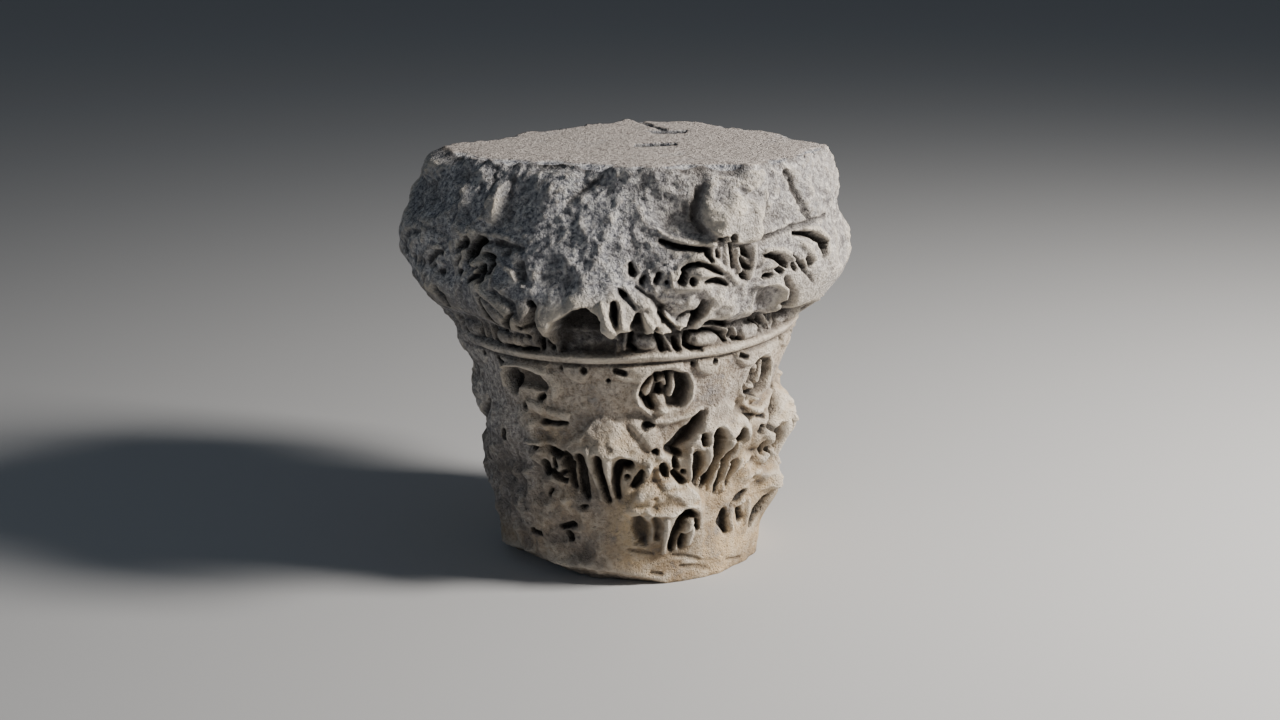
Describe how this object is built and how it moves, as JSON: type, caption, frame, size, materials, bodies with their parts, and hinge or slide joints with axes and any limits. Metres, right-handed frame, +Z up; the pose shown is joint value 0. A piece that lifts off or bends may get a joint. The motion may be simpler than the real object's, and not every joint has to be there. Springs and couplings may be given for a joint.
{
  "type": "corinthian capital",
  "caption": "Broken marble column capital with two rows of snapped acanthus leaves, a bead ring, an egg band and the stumps of its corner volutes; it stands on its flat underside.",
  "frame": {"origin": "centre of the flat underside, where the capital sits on its shaft", "axes": "+Z up along the column, -Y out of the side whose flower boss survives best, +X to the right of that side"},
  "size_m": [0.5753, 0.5861, 0.598],
  "materials": {
    "marble": "weathered, speckled grey above and warm tan below, black dirt in the drill holes"
  },
  "bodies": {
    "root": {"capital": "marble"}
  },
  "joints": []
}
